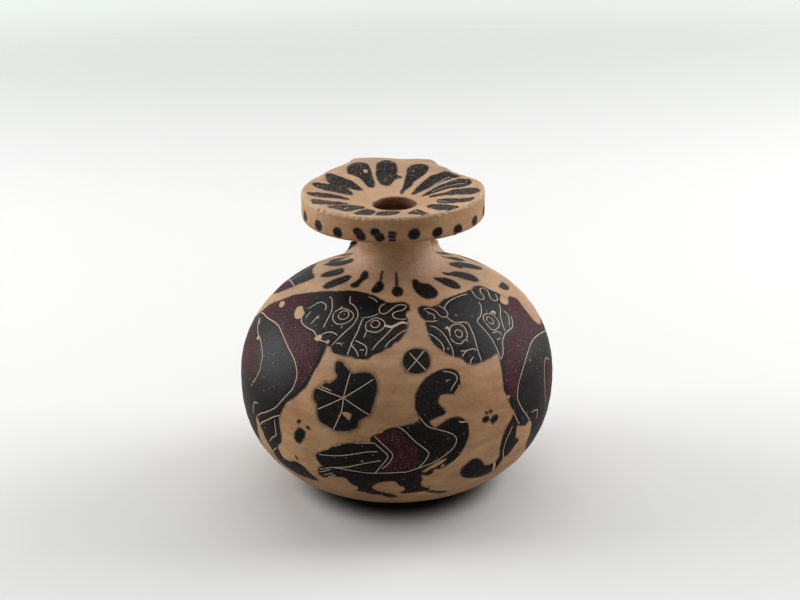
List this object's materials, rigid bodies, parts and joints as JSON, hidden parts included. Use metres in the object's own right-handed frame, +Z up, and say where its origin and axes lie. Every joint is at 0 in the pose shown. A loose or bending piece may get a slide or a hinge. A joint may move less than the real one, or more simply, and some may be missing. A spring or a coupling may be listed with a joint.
{
  "type": "aryballos flask",
  "caption": "Small round oil flask of fired clay: hollow globe on a flat foot, short neck, wide disc mouth with a dished top, and a strap handle from shoulder to mouth.",
  "frame": {"origin": "middle of the flat foot, on the surface that the flask stands on", "axes": "+Z up along the axis of the globe, neck and mouth; +Y towards the strap handle at the back; the painted front faces -Y"},
  "size_m": [0.066, 0.066, 0.0644],
  "materials": {
    "clay": "fired buff to orange clay, burnished by hand",
    "luting_clay": "the same clay, wiped smooth over the joints",
    "black_slip": "fired black slip, slightly glossy, worn",
    "purple_slip": "matt purple-red slip laid over the black"
  },
  "bodies": {
    "root": {"body": "clay", "neck": "clay", "mouth_disc": "clay", "handle": "clay", "neck_luting": "luting_clay", "mouth_luting": "luting_clay", "handle_rim_luting": "luting_clay", "handle_foot_luting": "luting_clay"}
  },
  "joints": []
}
